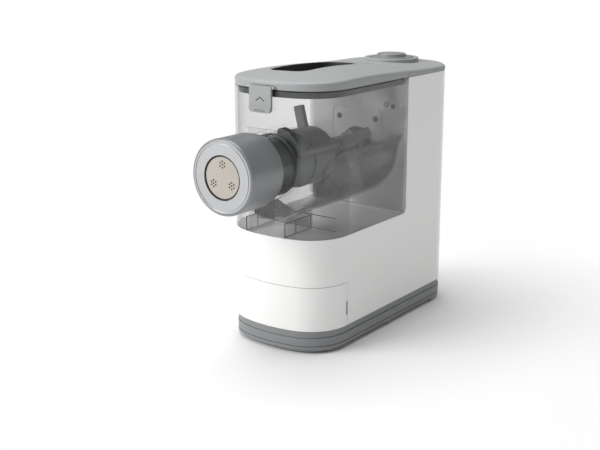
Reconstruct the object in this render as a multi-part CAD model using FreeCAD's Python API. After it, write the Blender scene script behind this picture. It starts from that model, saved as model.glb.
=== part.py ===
import FreeCAD, Part
import math
import os

V = FreeCAD.Vector
RIGHT = V(1, 0, 0)
REAR = V(0, 1, 0)
UP = V(0, 0, 1)

# Electric pasta maker, in millimetres.
# The origin is under its middle, on the table. +Z is up and the nose points along -Y.

# Whole body
body_width = 135.0
overall_length = 350.0
overall_height = 295.0
nose_reach = 71.0
tower_depth = 109.5
body_back = overall_length / 2
body_front = nose_reach - overall_length / 2
tower_front = body_back - tower_depth
chamber_depth = tower_front - body_front
front_bulge_radius = 139.0
front_corner_radius = 46.0
rear_corner_radius = 37.0
wall = 2.5
fit_gap = 0.3
running_gap = 0.06
contact_gap = 0.02

# Heights, measured from the lower edge of the grey lid
base_top = 25.5
knob_over_band = 15.2
tower_under_band = 0.6
chamber_under_band = 1.6
axis_under_band = 79.8
ledge_under_band = 154.5
band_bottom = overall_height - knob_over_band
tower_top = band_bottom - tower_under_band
chamber_top = band_bottom - chamber_under_band
axis_height = band_bottom - axis_under_band
ledge_height = band_bottom - ledge_under_band
tower_corner_radius = 6.0

# Crown of the lid and the rear cover: rise over the band at the sides and at the middle
crown_overhang = 4.0
crown_top_place = 63.0
front_rise = (4.6, 7.4)
top_rise = (8.8, 15.2)
seam_rise = (6.4, 11.6)
back_rise = (5.8, 7.8)
crown_rounding = 3.5
crown_clear = band_bottom + 30.0
cover_skin = 2.4

# Base and feet
foot_height = 2.0
foot_radius = 8.0
foot_inset_side = 24.0
foot_inset_end = 34.0
foot_peg = 1.5
base_floor = 3.0
base_wall = 4.0
groove_heights = (8.6, 18.0)
groove_width = 0.8
groove_depth = 1.4
top_band_inset = 1.0
base_chamfer = 3.0

# Drawer
drawer_height = 48.5
drawer_wrap = 53.0
drawer_gap = 0.5
tray_setback = 41.5
tray_length = chamber_depth - tray_setback
tray_side_room = 8.5
tray_half_width = body_width / 2 - tray_side_room
tray_wall = 1.6
tray_depth = 38.0
bay_wall = 1.6
bay_gap = 0.5
notch_height = 15.0
notch_width = 3.0
notch_lift = 12.0

# Mixing chamber
chamber_wall = 2.5
chamber_gap = 0.9
trough_side_room = 11.5
trough_radius = body_width / 2 - trough_side_room
trough_wall = 2.4
trough_front_gap = 8.0
shoulder_rise = 26.0
rib_thickness = 1.8
cross_wall_back = 58.0
neck_radius = 33.0
neck_wall = 2.8
neck_length = 30.0
collar_rise = 3.0
collar_length = 8.0
shaft_hole_gap = 0.9
side_rib_places = (-29.0, 22.0)
side_rib_depth = 50.0

# Extrusion barrel, screw and paddle
barrel_wall = 2.6
barrel_back_reach = 44.0
barrel_flange = 2.5
screw_core_radius = 11.0
screw_gap = 0.9
screw_pitch = 30.0
screw_flight = 5.0
paddle_shaft_radius = 12.0
bell_radius = 31.0
bell_rim = 34.0
bell_length = 24.0
bell_bulge = 3.5
arm_rounding = 1.6
spigot_radius = 6.0
spigot_length = 8.0

# Paddle arms: place in front of the tower, angle from the top, lean to the back, room to the trough,
# width and thickness
rear_arm = (19.5, 157.0, 0.0, 4.0, 10.5, 6.5)
side_arm = (57.5, 60.0, 44.0, 5.0, 12.0, 7.0)
blade_arm = (95.5, -14.0, 0.0, 1.6, 12.0, 6.0)
paddle_arms = (rear_arm, side_arm, blade_arm)

# Claw that sweeps round the barrel at the front of the trough
claw_room = 1.8
claw_thickness = 8.0
claw_width = 9.0
claw_start = 14.0
claw_end = 66.0
claw_spoke_setback = 52.0

# Nut and disc
nut_radius = 39.0
nut_length = 43.0
nut_ring_length = 8.0
nut_ring_radius = 37.2
nut_rim = 3.0
nut_opening = 22.9
face_ring_width = 14.6
face_ring_depth = 1.4
face_groove_radius = 34.0
disc_boss_radius = 20.9
disc_flange_radius = 31.0
disc_thickness = 7.0
disc_flange = 4.0
seal_width = 1.5
hole_radius = 1.0
hole_pitch = 3.2
cluster_distance = 13.4
cluster_angles = (90.0, 210.0, 330.0)
nut_gap = 0.35

# Drive
gear_backlash = 0.16
addendum = 0.92
dedendum = 1.2
pressure_angle = 20.0
pinion_teeth = 12
first_wheel_teeth = 60
second_pinion_teeth = 14
second_wheel_teeth = 56
second_module = 1.25
third_pinion_teeth = 14
third_wheel_teeth = 56
third_module = 1.5
layshaft_offset = 26.0
first_face = 7.0
second_face = 9.0
third_face = 12.0
gear_side_gap = 2.0
plate_thickness = 4.0
case_wall = 2.5
tooth_room = 1.0
gearbox_side_room = 4.5
first_wheel_radius = (body_width / 2 - wall - gearbox_side_room - case_wall - tooth_room
                      - layshaft_offset)
first_module = first_wheel_radius / (first_wheel_teeth / 2 + 1)
motor_drop = 16.0
gearbox_left_shoulder = 30.0
gearbox_right_shoulder = 44.0
gearbox_corner = 8.0
post_inset = 6.0
pin_radius = 4.0
shaft_radius = 8.0
bush_wall = 3.0
coupling_radius = 17.0
coupling_ring = 3.4
coupling_reach = 5.0
coupling_web = 2.0
dog_width = 4.0
dog_reach = 6.0
panel_half_width = 33.0
panel_below_axis = 33.0
panel_above_axis = 39.5
panel_bottom = axis_height - panel_below_axis
panel_top = axis_height + panel_above_axis
panel_bulge = 6.0
panel_gap = 0.7
panel_thickness = 1.2
panel_corner = 7.0
panel_screws_at = ((-24.5, 28.5), (24.5, 28.5), (-18.5, -18.0), (18.5, -18.0))
screw_radius = 2.0
screw_head_radius = 3.2
screw_head = 0.6

# Motor
motor_radius = 31.0
motor_length = 50.0
can_wall = 2.0
rotor_radius = 17.0
rotor_length = 24.0
magnet_thickness = 6.0
rotor_shaft_radius = 2.5
fan_radius = 24.0
fan_thickness = 6.0
commutator_radius = 8.0
commutator_length = 8.0
rotor_setback = 12.0
magnet_slot = 6.0
motor_bearing_wall = 3.0
motor_bearing_length = 3.0
cap_thickness = 3.0
cap_spigot = 2.0
brush_width = 5.0
brush_gap = 0.2
fan_setback = 1.5
fan_hub_radius = 7.0
fan_vane = 1.2
rotor_slots = 12
rotor_slot_radius = 1.6

# Knob, switch and board
knob_setback = 37.0
dish_radius = 32.0
knob_over_dish = 3.4
dish_top = overall_height - knob_over_dish
dish_recess = 1.2
dish_depth = 7.0
knob_skirt_radius = 25.0
knob_skirt = 1.6
knob_radius = 17.0
knob_taper = 0.8
knob_lift = 0.3
knob_socket = 6.0
knob_shaft_radius = 3.0
switch_size = 24.0
switch_height = 14.0
board_size = (70.0, 62.0)
board_thickness = 1.6
board_under_band = 23.8
board_height = band_bottom - board_under_band
board_hole_inset = 5.0
board_screw_radius = 1.5
shelf_thickness = 2.0
post_radius = 3.0
post_height = 4.0

# Lid, liner and latch
lid_skirt_depth = 8.0
skirt_wall = 1.8
skirt_gap = 1.3
liner_floor = 2.0
tray_middle = -10.0
tray_width = 46.0
tray_front = 44.0
tray_back_room = 18.0
tray_corner = 14.0
tray_lip = 1.6
slot_width = 12.0
slot_end_room = 10.0
hinge_setback = 4.4
hinge_rise = 7.2
hinge_height = band_bottom + hinge_rise
hinge_pin_radius = 1.2
hinge_lug_radius = 2.5
hinge_lug_width = 4.0
hinge_lug_place = 16.0
hinge_pin_length = 44.0
latch_width = 28.0
latch_middle = -5.0
latch_drop = 24.2
latch_rise = 3.2
latch_bottom = band_bottom - latch_drop
latch_top = band_bottom + latch_rise
latch_thickness = 3.8
latch_gap = 1.0
latch_corner = 5.0
latch_step = 6.5
latch_pin_radius = 1.3
latch_pin_rise = 1.8
latch_pin_height = band_bottom + latch_pin_rise
catch_over_latch = 4.4
catch_height = latch_bottom + catch_over_latch
catch_reach = 0.7
catch_width = 16.0

# Interlock pins
lid_pin_inset = 28.8
lid_pin_rise = 46.6
lid_pin_radius = 2.6
chamber_pin_inset = 19.8
chamber_pin_rise = 45.1
chamber_pin_radius = 1.8
pins = (("lid_pin", body_width / 2 - lid_pin_inset, axis_height + lid_pin_rise, lid_pin_radius),
        ("chamber_pin", body_width / 2 - chamber_pin_inset, axis_height + chamber_pin_rise,
         chamber_pin_radius))
pin_travel = 2.5
pin_length = 16.0
pin_head = 0.35
bush_rim = 0.9
bush_length = 6.0
switch_drop = 2.0

# Cord gland
gland_height = 44.0
gland_place = 16.0
gland_bore = 3.5
gland_radius = 6.5
gland_flange = 9.0
gland_length = 10.0


# Small helpers
def box(x0, x1, y0, y1, z0, z1):
    return Part.makeBox(x1 - x0, y1 - y0, z1 - z0, V(x0, y0, z0))


def rod(radius, length, at, way=REAR):
    return Part.makeCylinder(radius, length, at, way)


def ring(outer, inner, length, at, way=REAR):
    return rod(outer, length, at, way).cut(rod(inner, length + 2, at - way, way))


# Cylinder along X, centred on x
def across(radius, length, x, y, z):
    return rod(radius, length, V(x - length / 2, y, z), RIGHT)


def on_axis(y):
    return V(0, y, axis_height)


def save(name, shape):
    shape.exportStep("parts/" + name + ".step")
    print(name, "solids", len(shape.Solids), "volume", round(shape.Volume))


# Outline of the body seen from above, drawn in by an inset
def plan_wire(inset, z):
    half = body_width / 2 - inset
    back = body_back - inset
    rear_r = rear_corner_radius - inset
    middle = V(0, body_front + front_bulge_radius, z)
    corner_x = body_width / 2 - front_corner_radius
    reach = front_bulge_radius - front_corner_radius
    corner_y = middle.y - math.sqrt(reach ** 2 - corner_x ** 2)
    front_r = front_bulge_radius - inset
    corner_r = front_corner_radius - inset
    lean = math.atan2(corner_x, middle.y - corner_y)
    meet = V(math.sin(lean) * front_r, middle.y - math.cos(lean) * front_r, z)
    half_way = (lean + math.pi / 2) / 2
    corner_mid = V(corner_x + corner_r * math.sin(half_way), corner_y - corner_r * math.cos(half_way), z)
    rear_mid = V(half - rear_r * (1 - math.sqrt(0.5)), back - rear_r * (1 - math.sqrt(0.5)), z)

    def left(point):
        return V(-point.x, point.y, point.z)

    side_front = V(half, corner_y, z)
    side_back = V(half, back - rear_r, z)
    back_right = V(half - rear_r, back, z)
    edges = [
        Part.Arc(left(meet), V(0, middle.y - front_r, z), meet).toShape(),
        Part.Arc(meet, corner_mid, side_front).toShape(),
        Part.LineSegment(side_front, side_back).toShape(),
        Part.Arc(side_back, rear_mid, back_right).toShape(),
        Part.LineSegment(back_right, left(back_right)).toShape(),
        Part.Arc(left(back_right), left(rear_mid), left(side_back)).toShape(),
        Part.LineSegment(left(side_back), left(side_front)).toShape(),
        Part.Arc(left(side_front), left(corner_mid), left(meet)).toShape(),
    ]
    return Part.Wire(edges)


def prism(inset, z0, z1):
    return Part.Face(plan_wire(inset, z0)).extrude(V(0, 0, z1 - z0))


# The prism in front of a cross plane, or behind it
def front_prism(inset, z0, z1, back):
    return prism(inset, z0, z1).common(box(-body_width, body_width, -overall_length, back, z0, z1))


def rear_prism(inset, z0, z1, front):
    return prism(inset, z0, z1).common(box(-body_width, body_width, front, overall_length, z0, z1))


# Solid under the domed crown, lowered by a drop
def crown_solid(drop):
    half = body_width / 2 + 2
    low = band_bottom - 20
    sections = ((body_front - crown_overhang, front_rise), (body_front + crown_top_place, top_rise),
                (tower_front, seam_rise), (body_back + crown_overhang, back_rise))
    wires = []
    for y, (side, middle) in sections:
        left = V(-half, y, band_bottom + side - drop)
        right = V(half, y, band_bottom + side - drop)
        low_right = V(half, y, low)
        low_left = V(-half, y, low)
        wires.append(Part.Wire([
            Part.Arc(left, V(0, y, band_bottom + middle - drop), right).toShape(),
            Part.LineSegment(right, low_right).toShape(),
            Part.LineSegment(low_right, low_left).toShape(),
            Part.LineSegment(low_left, left).toShape(),
        ]))
    return Part.makeLoft(wires, True, False)


# The whole top of the machine, from the band up, with its upper edge rounded
def crown_block():
    block = prism(0, band_bottom, crown_clear).common(crown_solid(0))
    rim = [e for e in block.Edges if e.BoundBox.ZMin > band_bottom + 1.0]
    return block.makeFillet(crown_rounding, rim)


def front_half(back):
    return box(-body_width, body_width, -overall_length, back, band_bottom - 1, crown_clear)


def rear_half(front):
    return box(-body_width, body_width, front, overall_length, band_bottom - 1, crown_clear)


# Involute gear outline, turned by a phase in degrees, with its axis along Y
def gear(teeth, module, width, x, z, y, phase):
    pitch_r = teeth * module / 2
    base_r = pitch_r * math.cos(math.radians(pressure_angle))
    tip_r = pitch_r + addendum * module
    root_r = pitch_r - dedendum * module
    half_tooth = math.pi / (2 * teeth) - gear_backlash / (2 * pitch_r)

    def flank_angle(radius):
        if radius <= base_r:
            return half_tooth + involute(base_r, pitch_r)
        return half_tooth + involute(base_r, pitch_r) - involute(base_r, radius)

    def spot(radius, angle):
        return V(x + radius * math.sin(angle), y, z + radius * math.cos(angle))

    start_r = max(base_r, root_r)
    mid_r = (start_r + tip_r) / 2
    edges = []
    for tooth in range(teeth):
        centre = math.radians(phase) + 2 * math.pi * tooth / teeth
        following = centre + 2 * math.pi / teeth
        low_left = spot(start_r, centre - flank_angle(start_r))
        low_right = spot(start_r, centre + flank_angle(start_r))
        root_left = spot(root_r, centre - flank_angle(start_r))
        root_right = spot(root_r, centre + flank_angle(start_r))
        next_root = spot(root_r, following - flank_angle(start_r))
        tip_left = spot(tip_r, centre - flank_angle(tip_r))
        tip_right = spot(tip_r, centre + flank_angle(tip_r))
        if start_r > root_r:
            edges.append(Part.LineSegment(root_left, low_left).toShape())
        edges.append(Part.Arc(low_left, spot(mid_r, centre - flank_angle(mid_r)), tip_left).toShape())
        edges.append(Part.LineSegment(tip_left, tip_right).toShape())
        edges.append(Part.Arc(tip_right, spot(mid_r, centre + flank_angle(mid_r)), low_right).toShape())
        if start_r > root_r:
            edges.append(Part.LineSegment(low_right, root_right).toShape())
        edges.append(Part.LineSegment(root_right, next_root).toShape())
    return Part.Face(Part.Wire(edges)).extrude(V(0, width, 0))


# Angle that an involute turns through between its base circle and a radius, less the pitch circle's
def involute(base_r, radius):
    reach = math.sqrt(max(radius ** 2 / base_r ** 2 - 1, 0))
    return reach - math.atan(reach)


# Phase that puts a wheel's gap opposite a pinion's tooth, both measured from +Z towards +X
def meshing_phase(teeth, other_teeth, other_phase, dx, dz):
    to_wheel = math.degrees(math.atan2(dx, dz))
    other_tooth = (to_wheel - other_phase) * other_teeth / 360
    part = other_tooth - math.floor(other_tooth)
    return to_wheel + 180 - (0.5 - part) * 360 / teeth


# Where the gears stand
third_distance = (third_pinion_teeth + third_wheel_teeth) * third_module / 2
second_distance = (second_pinion_teeth + second_wheel_teeth) * second_module / 2
first_distance = (pinion_teeth + first_wheel_teeth) * first_module / 2
second_shaft = (0.0, axis_height - third_distance)
first_shaft = (layshaft_offset, second_shaft[1] - math.sqrt(second_distance ** 2 - layshaft_offset ** 2))
motor_axis = (0.0, first_shaft[1] - math.sqrt(first_distance ** 2 - layshaft_offset ** 2))

# Places along the drive, from the front of the tower to the back
plate_y = tower_front + wall
third_y = plate_y + plate_thickness + gear_side_gap
second_y = third_y + third_face + gear_side_gap
first_y = second_y + second_face + gear_side_gap
case_back_y = first_y + first_face + gear_side_gap
motor_y = case_back_y + case_wall

# Phases, so that the teeth stand in mesh at rest
output_phase = 0.0
second_pinion_phase = meshing_phase(
    third_pinion_teeth, third_wheel_teeth, output_phase,
    second_shaft[0], second_shaft[1] - axis_height)
second_wheel_phase = 0.0
first_pinion_phase = meshing_phase(
    second_pinion_teeth, second_wheel_teeth, second_wheel_phase,
    first_shaft[0] - second_shaft[0], first_shaft[1] - second_shaft[1])
first_wheel_phase = 0.0
motor_pinion_phase = meshing_phase(
    pinion_teeth, first_wheel_teeth, first_wheel_phase,
    motor_axis[0] - first_shaft[0], motor_axis[1] - first_shaft[1])

# Places round the nose
nose_front = -overall_length / 2
neck_front = body_front - neck_length
disc_front = nose_front + face_ring_depth
disc_back = disc_front + disc_thickness
barrel_front = disc_back + 1.0
barrel_radius = neck_radius - neck_wall - fit_gap
barrel_back = body_front + barrel_back_reach
screw_radius_outer = barrel_radius - barrel_wall - screw_gap
bell_front = barrel_back + 1.5
chamber_back = tower_front - chamber_gap
lid_back = chamber_back - 0.3
knob_y = body_back - knob_setback


# Main housing: lower block and tower in one shell
def main_housing():
    outer = prism(0, base_top, ledge_height).fuse(rear_prism(0, base_top, tower_top, tower_front))
    outer = outer.removeSplitter()
    corner = [e for e in outer.Edges if abs(e.CenterOfMass.y - tower_front) < 0.01
              and abs(e.CenterOfMass.z - ledge_height) < 0.01]
    outer = outer.makeFillet(tower_corner_radius, corner)
    inner = prism(wall, base_top - 1, ledge_height - wall)
    inner = inner.fuse(rear_prism(wall, base_top - 1, tower_top + 1, tower_front + wall))
    shell = outer.cut(inner)
    shell = shell.cut(box(-body_width, body_width, -overall_length, body_front + drawer_wrap,
                          base_top - 1, base_top + drawer_height))
    shell = shell.cut(rod(coupling_radius + 2, wall + 2, on_axis(tower_front - 1)))
    for x, dz in panel_screws_at:
        shell = shell.cut(rod(screw_radius + fit_gap, wall + 2, V(x, tower_front - 1, axis_height + dz)))
    for _, x, z, radius in pins:
        shell = shell.cut(rod(radius + bush_rim, wall + 2, V(x, tower_front - 1, z)))
    shell = shell.cut(panel_solid(panel_thickness + contact_gap, panel_gap))
    shell = shell.cut(rod(gland_radius, wall + 2, V(gland_place, body_back - wall - 1, gland_height)))
    for x in (-1, 1):
        for y in boss_places():
            boss = ring(4.0, 1.5, 20, V(x * boss_x(y), y, base_top), UP)
            shell = shell.fuse(boss.common(prism(wall / 2, base_top, ledge_height)))
    return shell.removeSplitter()


def boss_places():
    return (body_front + tray_length + 12, body_back - 40)


def boss_x(y):
    return body_width / 2 - wall - 2.5


# Panel on the tower's front, round the drive
def panel_solid(depth, grow):
    half = panel_half_width + grow
    low = panel_bottom - grow
    high = panel_top + grow
    y = tower_front
    corner = panel_corner + grow
    flat = half - corner
    left_low = V(-half, y, low + panel_bulge)
    right_low = V(half, y, low + panel_bulge)
    edges = [
        Part.Arc(left_low, V(0, y, low), right_low).toShape(),
        Part.LineSegment(right_low, V(half, y, high - corner)).toShape(),
        Part.Arc(V(half, y, high - corner), V(flat + corner * math.sqrt(0.5), y,
                 high - corner + corner * math.sqrt(0.5)), V(flat, y, high)).toShape(),
        Part.LineSegment(V(flat, y, high), V(-flat, y, high)).toShape(),
        Part.Arc(V(-flat, y, high), V(-flat - corner * math.sqrt(0.5), y,
                 high - corner + corner * math.sqrt(0.5)), V(-half, y, high - corner)).toShape(),
        Part.LineSegment(V(-half, y, high - corner), left_low).toShape(),
    ]
    return Part.Face(Part.Wire(edges)).extrude(V(0, depth, 0))


def drive_panel():
    panel = panel_solid(panel_thickness, 0)
    panel = panel.cut(rod(coupling_radius + 1.4, 4, on_axis(tower_front - 1)))
    for x, dz in panel_screws_at:
        panel = panel.cut(rod(screw_radius + fit_gap, 4, V(x, tower_front - 1, axis_height + dz)))
    return panel


def panel_screws():
    screws = []
    for x, dz in panel_screws_at:
        at = V(x, tower_front, axis_height + dz)
        head = rod(screw_head_radius, screw_head, at - REAR * screw_head)
        slot = box(x - 4, x + 4, at.y - screw_head - 1, at.y - 0.5, at.z - 0.5, at.z + 0.5)
        shank = rod(screw_radius, wall + plate_thickness, at)
        screws.append(head.cut(slot).fuse(shank).removeSplitter())
    return Part.makeCompound(screws)


# Base, feet and the screws that hold the shell down
def base_tray():
    shell = prism(0.3, foot_height, base_top - 0.4)
    low_edges = [e for e in shell.Edges if abs(e.BoundBox.ZMax - foot_height) < 0.01]
    shell = shell.makeChamfer(base_chamfer, low_edges)
    for height in groove_heights:
        band = prism(-1, height - groove_width / 2, height + groove_width / 2)
        shell = shell.cut(band.cut(prism(groove_depth, height - groove_width, height + groove_width)))
    top = prism(-1, groove_heights[1], base_top).cut(prism(top_band_inset, groove_heights[1], base_top))
    shell = shell.cut(top)
    shell = shell.cut(prism(base_wall, foot_height + base_floor, base_top + 1))
    for y in (body_front + 60, body_front + 115):
        rib = box(-body_width / 2 + base_wall, body_width / 2 - base_wall, y, y + 3,
                  foot_height + base_floor, base_top + 0.5)
        shell = shell.fuse(rib)
    for x, y in foot_places():
        shell = shell.cut(rod(foot_radius, foot_peg, V(x, y, foot_height), UP))
    for x in (-1, 1):
        for y in boss_places():
            pillar = rod(4.6, base_top - foot_height - 0.1, V(x * boss_x(y), y, foot_height), UP)
            shell = shell.fuse(pillar.common(prism(top_band_inset, foot_height, base_top)))
            shell = shell.cut(rod(1.7, 40, V(x * boss_x(y), y, foot_height - 1), UP))
            shell = shell.cut(rod(3.4, 3, V(x * boss_x(y), y, foot_height), UP))
    return shell.removeSplitter()


def foot_places():
    places = []
    for x in (-1, 1):
        for y in (body_front + foot_inset_end, body_back - foot_inset_end):
            places.append((x * (body_width / 2 - foot_inset_side), y))
    return places


def rubber_feet():
    feet = []
    for x, y in foot_places():
        foot = rod(foot_radius - 0.1, foot_height + foot_peg, V(x, y, 0), UP)
        low = [e for e in foot.Edges if e.BoundBox.ZMax < 0.01]
        feet.append(foot.makeFillet(0.8, low))
    return Part.makeCompound(feet)


def housing_screws():
    screws = []
    for x in (-1, 1):
        for y in boss_places():
            at = V(x * boss_x(y), y, foot_height + 0.6)
            head = rod(3.2, 2.2, at, UP)
            shank = rod(1.45, base_top + 14 - at.z, at, UP)
            screws.append(head.fuse(shank).removeSplitter())
    return Part.makeCompound(screws)


# Drawer: wrapped front, tray and the bay it runs in
def drawer_front():
    bottom = base_top
    top = base_top + drawer_height - drawer_gap
    back = body_front + drawer_wrap - drawer_gap
    front = front_prism(0, bottom, top, back).cut(prism(wall, bottom - 1, top + 1))
    notch = box(body_width / 2 - wall - 1, body_width / 2 + 1, back - notch_width, back + 1,
                bottom + notch_lift, bottom + notch_lift + notch_height)
    return front.cut(notch)


def tray_block(inset, half, z0, z1, back):
    return front_prism(inset, z0, z1, back).common(box(-half, half, -overall_length, overall_length, z0, z1))


def tray_bottom():
    return base_top + 0.5 + bay_wall + bay_gap


def drawer_tray():
    inset = wall + fit_gap
    low = tray_bottom()
    back = body_front + tray_length
    tray = tray_block(inset, tray_half_width, low, low + tray_depth, back)
    hollow = tray_block(inset + tray_wall, tray_half_width - tray_wall, low + tray_wall,
                        low + tray_depth + 1, back - tray_wall)
    return tray.cut(hollow)


def drawer_bay():
    half = tray_half_width + bay_gap
    low = base_top + 0.5
    high = tray_bottom() + tray_depth + bay_gap
    front = body_front + drawer_wrap + 1
    back = body_front + tray_length + 2
    bay = box(-half - bay_wall, half + bay_wall, front, back + bay_wall, low, high + bay_wall)
    return bay.cut(box(-half, half, front - 1, back, low + bay_wall, high))


# Rear cover, with the dish and the knob on it
def cover_shell(front_y):
    outer = crown_block().common(rear_half(front_y))
    inner = rear_prism(cover_skin, band_bottom - 1, crown_clear, front_y + cover_skin)
    inner = inner.common(crown_solid(cover_skin))
    return outer.cut(inner)


def rear_cover():
    cover = cover_shell(tower_front - 0.6)
    lip_inset = wall + fit_gap
    lip = rear_prism(lip_inset, tower_top - 4, band_bottom + 1, tower_front + lip_inset)
    lip = lip.cut(rear_prism(lip_inset + 1.6, tower_top - 5, band_bottom + 2, tower_front + lip_inset + 1.6))
    rim = rear_prism(1.0, tower_top, band_bottom, tower_front + 1.0)
    rim = rim.cut(rear_prism(lip_inset + 1.6, tower_top - 1, band_bottom + 1, tower_front + lip_inset + 1.6))
    cover = cover.fuse(lip).fuse(rim)
    cover = cover.cut(rod(dish_radius + 0.15, 40, V(0, knob_y, band_bottom + 1), UP))
    return cover.removeSplitter()


def knob_dish():
    low = dish_top - dish_depth
    dish = rod(dish_radius, dish_depth, V(0, knob_y, low), UP)
    dish = dish.makeFillet(0.8, [e for e in dish.Edges if e.BoundBox.ZMin > dish_top - 0.01])
    pocket = rod(knob_skirt_radius + 1.2, dish_recess + 1, V(0, knob_y, dish_top - dish_recess), UP)
    under = rod(dish_radius - 2.5, dish_depth - dish_recess - 2, V(0, knob_y, low), UP)
    dish = dish.cut(pocket).cut(under)
    return dish.cut(rod(knob_shaft_radius + running_gap, 20, V(0, knob_y, low), UP))


def selector_knob():
    low = dish_top - dish_recess + knob_lift
    skirt = rod(knob_skirt_radius, knob_skirt, V(0, knob_y, low), UP)
    grip = Part.makeCone(knob_radius + knob_taper, knob_radius, overall_height - low, V(0, knob_y, low), UP)
    grip = grip.makeFillet(1.2, [e for e in grip.Edges if e.BoundBox.ZMin > overall_height - 0.01])
    knob = skirt.fuse(grip)
    pointer = box(-0.8, 0.8, knob_y - knob_radius - 2, knob_y - knob_radius + 9,
                  overall_height - 0.5, overall_height + 1)
    knob = knob.cut(pointer)
    return knob.cut(rod(knob_shaft_radius, knob_socket, V(0, knob_y, low), UP)).removeSplitter()


def knob_shaft():
    low = board_height + board_thickness + 2
    high = dish_top - dish_recess + knob_lift + knob_socket
    return rod(knob_shaft_radius, high - low, V(0, knob_y, low), UP)


def selector_switch():
    half = switch_size / 2
    low = board_height + board_thickness
    body = box(-half, half, knob_y - half, knob_y + half, low, low + switch_height)
    return body.cut(rod(knob_shaft_radius + running_gap, 30, V(0, knob_y, low + 1.5), UP))


def control_board():
    width, length = board_size
    board = box(-width / 2, width / 2, knob_y - length / 2, knob_y + length / 2,
                board_height, board_height + board_thickness)
    for x, y in board_corners():
        hole = rod(board_screw_radius + 0.1, board_thickness + 2, V(x, y, board_height - 1), UP)
        board = board.cut(hole)
    return board


def board_corners():
    width, length = board_size
    x = width / 2 - board_hole_inset
    y = length / 2 - board_hole_inset
    return [(side * x, knob_y + end * y) for side in (-1, 1) for end in (-1, 1)]


# Shelf that ties the board to the tower's side walls
def board_shelf():
    half = body_width / 2 - wall - fit_gap
    width, length = board_size
    top = board_height - post_height
    low = top - shelf_thickness
    shelf = box(-half, half, knob_y - length / 2, knob_y + length / 2, low, top)
    shelf = shelf.common(prism(wall + fit_gap, low, top + 1))
    for x, y in board_corners():
        shelf = shelf.fuse(rod(post_radius, post_height, V(x, y, top), UP))
        shelf = shelf.fuse(rod(board_screw_radius, post_height + 3, V(x, y, top), UP))
    return shelf.removeSplitter()


# Gearbox
def gearbox_half():
    return (third_wheel_teeth / 2 + 1) * third_module + tooth_room + case_wall


def gearbox_right():
    return first_shaft[0] + (first_wheel_teeth / 2 + 1) * first_module + tooth_room + case_wall


def gearbox_outline(y, depth, shrink):
    left = shrink - gearbox_half()
    right = gearbox_right() - shrink
    top = axis_height + gearbox_half() - shrink
    bottom = motor_axis[1] - motor_drop + shrink
    block = box(left, right, y, y + depth, bottom, top)
    corners = ((left, top, gearbox_left_shoulder), (right, top, gearbox_right_shoulder),
               (left, bottom, gearbox_corner), (right, bottom, gearbox_corner))
    for x, z, radius in corners:
        upright = [e for e in block.Edges if e.CenterOfMass.distanceToPoint(V(x, y + depth / 2, z)) < 0.01]
        block = block.makeFillet(radius - shrink, upright)
    return block


def gearbox_plate():
    plate = gearbox_outline(plate_y, plate_thickness, 0)
    plate = plate.cut(rod(shaft_radius + bush_wall, 10, on_axis(plate_y - 1)))
    for x, dz in panel_screws_at:
        plate = plate.cut(rod(screw_radius, 10, V(x, plate_y - 1, axis_height + dz)))
    for x, z in gearbox_screw_places():
        plate = plate.cut(rod(1.6, 10, V(x, plate_y - 1, z)))
    for x, z in (first_shaft, second_shaft):
        plate = plate.cut(rod(pin_radius, 10, V(x, plate_y + 1.5, z)))
    return plate


def gearbox_screw_places():
    half = gearbox_half()
    low = motor_axis[1] - motor_drop + post_inset + 2
    left_reach = shoulder_reach(gearbox_left_shoulder)
    right_reach = shoulder_reach(gearbox_right_shoulder)
    return ((left_reach - half, axis_height + half - left_reach),
            (gearbox_right() - right_reach, axis_height + half - right_reach),
            (-half + post_inset + 2, low), (gearbox_right() - post_inset - 2, low))


# How far in from a rounded corner its screw stands
def shoulder_reach(radius):
    return radius - (radius - post_inset) * math.sqrt(0.5)


def gearbox_case():
    front = plate_y + plate_thickness
    depth = case_back_y + case_wall - front
    case = gearbox_outline(front, depth, 0)
    case = case.cut(gearbox_outline(front - 1, depth + 1 - case_wall, case_wall))
    posts = []
    for x, z in gearbox_screw_places():
        posts.append(ring(4.0, 1.6, depth, V(x, front, z)))
    for post in posts:
        case = case.fuse(post)
    for x, z in gearbox_screw_places():
        case = case.cut(rod(1.6, depth + 2, V(x, front - 1, z)))
    case = case.cut(rod(shaft_radius + bush_wall, 20, on_axis(case_back_y - 1)))
    case = case.cut(rod(rotor_shaft_radius + 4, 20, V(motor_axis[0], case_back_y - 1, motor_axis[1])))
    for x, z in (first_shaft, second_shaft):
        case = case.cut(rod(pin_radius, 20, V(x, case_back_y - 1, z)))
    return case.removeSplitter()


def gearbox_screws():
    screws = []
    depth = case_back_y + case_wall - plate_y
    for x, z in gearbox_screw_places():
        shank = rod(1.5, depth, V(x, plate_y, z))
        head = rod(3.0, 2.0, V(x, case_back_y + case_wall, z))
        screws.append(shank.fuse(head).removeSplitter())
    return Part.makeCompound(screws)


def gear_pins():
    length = case_back_y + case_wall - plate_y - 1.5
    axles = [rod(pin_radius, length, V(x, plate_y + 1.5, z)) for x, z in (first_shaft, second_shaft)]
    return Part.makeCompound(axles)


def output_bearings():
    front = ring(shaft_radius + bush_wall, shaft_radius + running_gap, plate_thickness, on_axis(plate_y))
    back = ring(shaft_radius + bush_wall, shaft_radius + running_gap, case_wall, on_axis(case_back_y))
    return Part.makeCompound([front, back])


def output_gear():
    wheel = gear(third_wheel_teeth, third_module, third_face, 0, axis_height, third_y, output_phase)
    hub = rod(16, case_back_y - 0.5 - third_y, on_axis(third_y))
    for turn in range(6):
        angle = math.radians(60 * turn + 30)
        at = V(26 * math.sin(angle), third_y - 1, axis_height + 26 * math.cos(angle))
        wheel = wheel.cut(rod(7, third_face + 2, at))
    return wheel.fuse(hub).cut(rod(shaft_radius, 60, on_axis(third_y - 2))).removeSplitter()


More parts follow.
